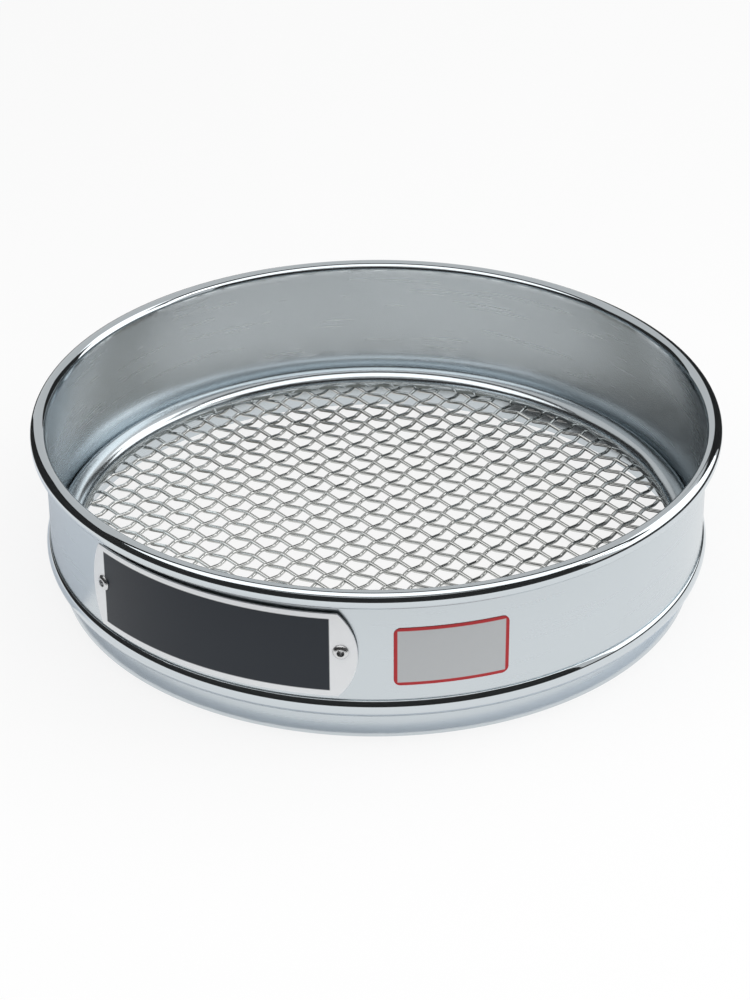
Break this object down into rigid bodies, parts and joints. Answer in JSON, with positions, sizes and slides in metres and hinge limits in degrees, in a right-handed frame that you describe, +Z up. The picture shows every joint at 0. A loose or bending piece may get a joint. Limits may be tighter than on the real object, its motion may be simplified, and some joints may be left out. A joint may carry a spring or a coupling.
{
  "type": "test sieve",
  "caption": "Round laboratory test sieve: rolled-rim steel shell, nesting skirt, woven wire cloth held by a half-round press ring, riveted name plate.",
  "frame": {"origin": "centre of the base, on the plane the skirt stands on", "axes": "+Z up along the sieve's axis, -Y towards the front, where the plate and the label are"},
  "size_m": [0.2096, 0.2096, 0.052],
  "materials": {
    "frame_steel": "polished stainless steel sheet",
    "ring_steel": "satin stainless steel sheet",
    "wire_steel": "bright drawn stainless wire",
    "plate_aluminium": "satin plate with a printed dark field",
    "rivet_aluminium": "bright",
    "label_foil": "printed foil with a red border"
  },
  "bodies": {
    "root": {"shell": "frame_steel", "skirt_ring": "frame_steel", "wire_cloth": "wire_steel", "press_ring": "ring_steel", "name_plate": "plate_aluminium", "rivet_left": "rivet_aluminium", "rivet_right": "rivet_aluminium", "label": "label_foil"}
  },
  "joints": []
}
